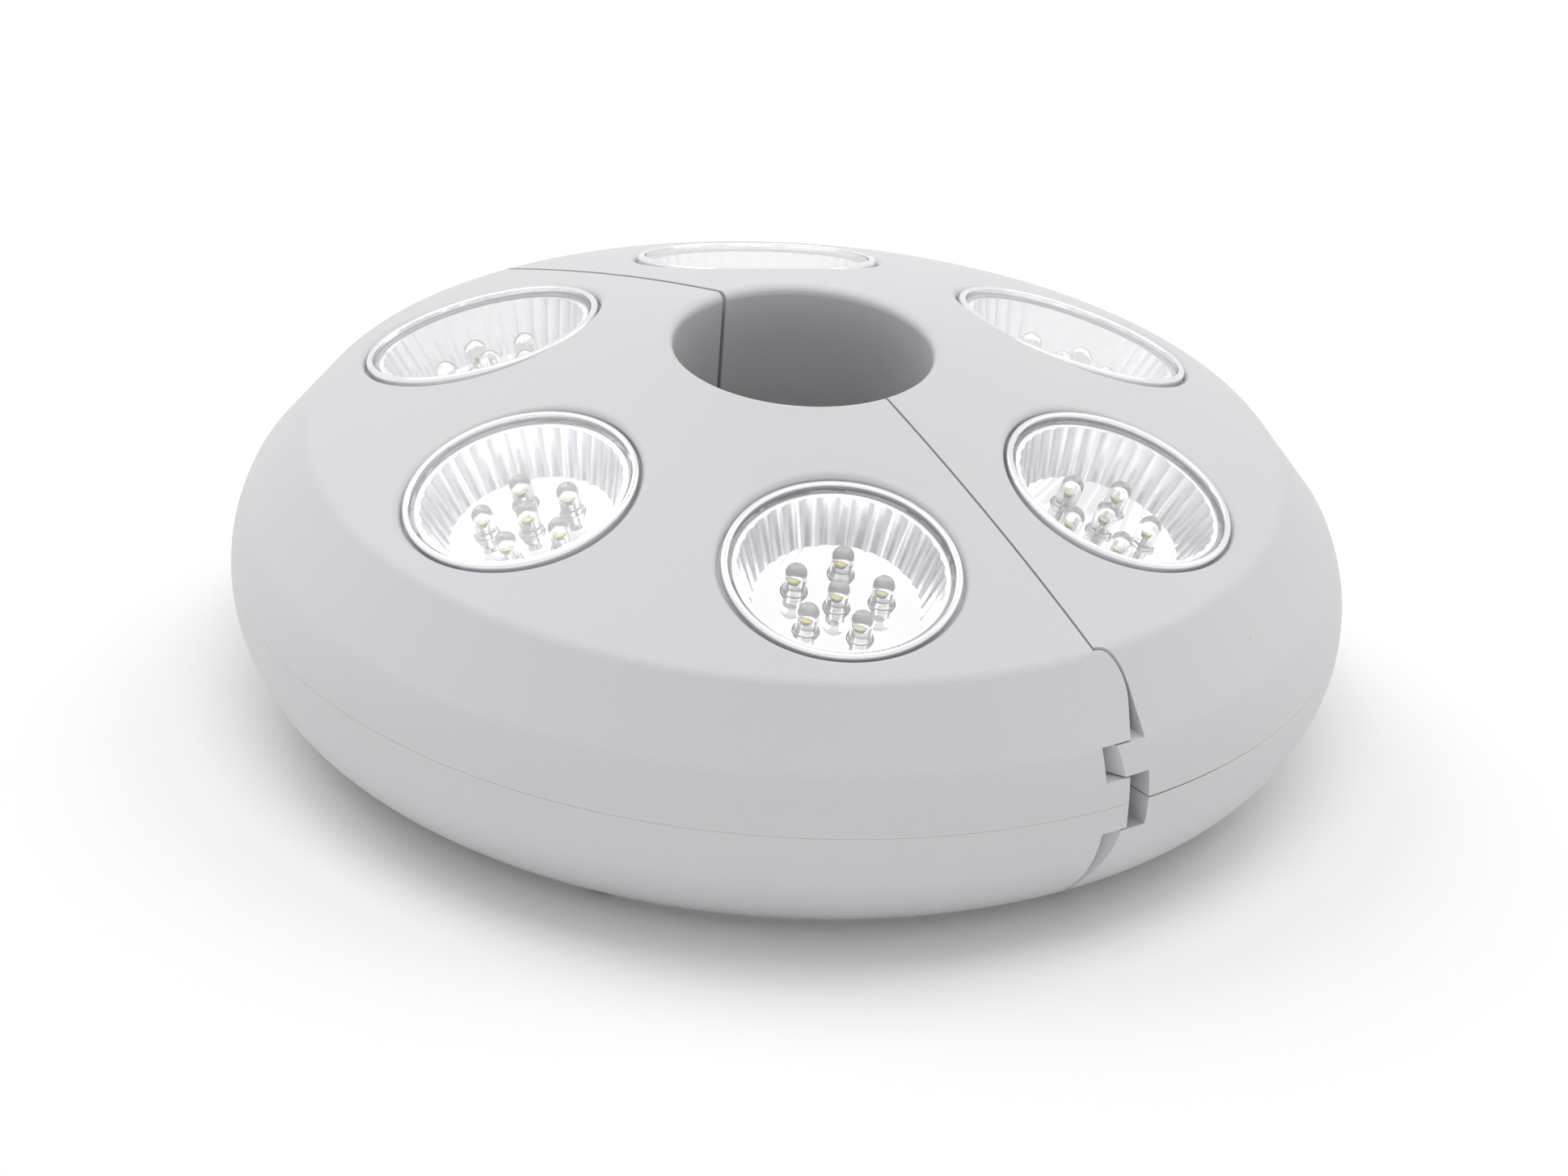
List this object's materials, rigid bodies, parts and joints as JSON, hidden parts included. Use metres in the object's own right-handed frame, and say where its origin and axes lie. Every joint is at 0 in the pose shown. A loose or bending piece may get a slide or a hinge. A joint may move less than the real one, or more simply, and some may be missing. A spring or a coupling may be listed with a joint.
{
  "type": "patio umbrella light",
  "caption": "Round cordless LED light that hinges open and closes round a parasol pole, with lens-covered reflector lamps set in its sloping face.",
  "frame": {"origin": "centre of the pole's bore, in the plane of the flat base", "axes": "+Z along the pole out of the lamp side; +X towards the half that swings; -Y towards the hinge, +Y towards the edge where the halves part"},
  "size_m": [0.25, 0.25, 0.0918],
  "materials": {
    "casing": "satin",
    "bezel": "polished",
    "lens": "gloss",
    "reflector": "polished",
    "led": "gloss",
    "board": "satin",
    "tray": "matte",
    "cell": "gloss",
    "contact": "polished",
    "lead": "satin",
    "component": "satin",
    "button": "satin",
    "screw": "satin",
    "pin": "satin",
    "magnet": "polished",
    "grip": "matte"
  },
  "bodies": {
    "left_half": {"left_upper_shell": "casing", "left_lower_shell": "casing", "hinge_pin": "pin", "bezel_1": "bezel", "lens_1": "lens", "reflector_1": "reflector", "leds_1": "led", "led_board_1": "board", "bezel_2": "bezel", "lens_2": "lens", "reflector_2": "reflector", "leds_2": "led", "led_board_2": "board", "bezel_3": "bezel", "lens_3": "lens", "reflector_3": "reflector", "leds_3": "led", "led_board_3": "board", "battery_tray_left": "tray", "battery_cells_left": "cell", "battery_contacts_left": "contact", "leads_left": "lead", "seam_lead": "lead", "driver_board": "board", "driver_components": "component", "push_switch": "component", "case_screws_left": "screw", "magnets_left": "magnet", "pole_grip_left": "grip"},
    "right_half": {"right_upper_shell": "casing", "right_lower_shell": "casing", "bezel_4": "bezel", "lens_4": "lens", "reflector_4": "reflector", "leds_4": "led", "led_board_4": "board", "bezel_5": "bezel", "lens_5": "lens", "reflector_5": "reflector", "leds_5": "led", "led_board_5": "board", "bezel_6": "bezel", "lens_6": "lens", "reflector_6": "reflector", "leds_6": "led", "led_board_6": "board", "battery_tray_right": "tray", "battery_cells_right": "cell", "battery_contacts_right": "contact", "leads_right": "lead", "case_screws_right": "screw", "magnets_right": "magnet", "pole_grip_right": "grip"},
    "button": {"power_button": "button", "switch_plunger": "component"},
    "door_left": {"battery_door_left": "casing"},
    "door_right": {"battery_door_right": "casing"}
  },
  "joints": [
    {"name": "clam_hinge", "type": "hinge", "parent": "left_half", "child": "right_half", "pos_m": [0, -0.1145, 0.035], "axis": [0, 0, -1], "range_deg": [0, 28]},
    {"name": "button_press", "type": "slide", "parent": "left_half", "child": "button", "axis": [0.342, -0.9397, 0], "range_m": [0, 0.0012], "stiffness_N_per_m": 300},
    {"name": "left_door_lift", "type": "slide", "parent": "left_half", "child": "door_left", "axis": [0, 0, -1], "range_m": [0, 0.015]},
    {"name": "right_door_lift", "type": "slide", "parent": "right_half", "child": "door_right", "axis": [0, 0, -1], "range_m": [0, 0.015]}
  ]
}
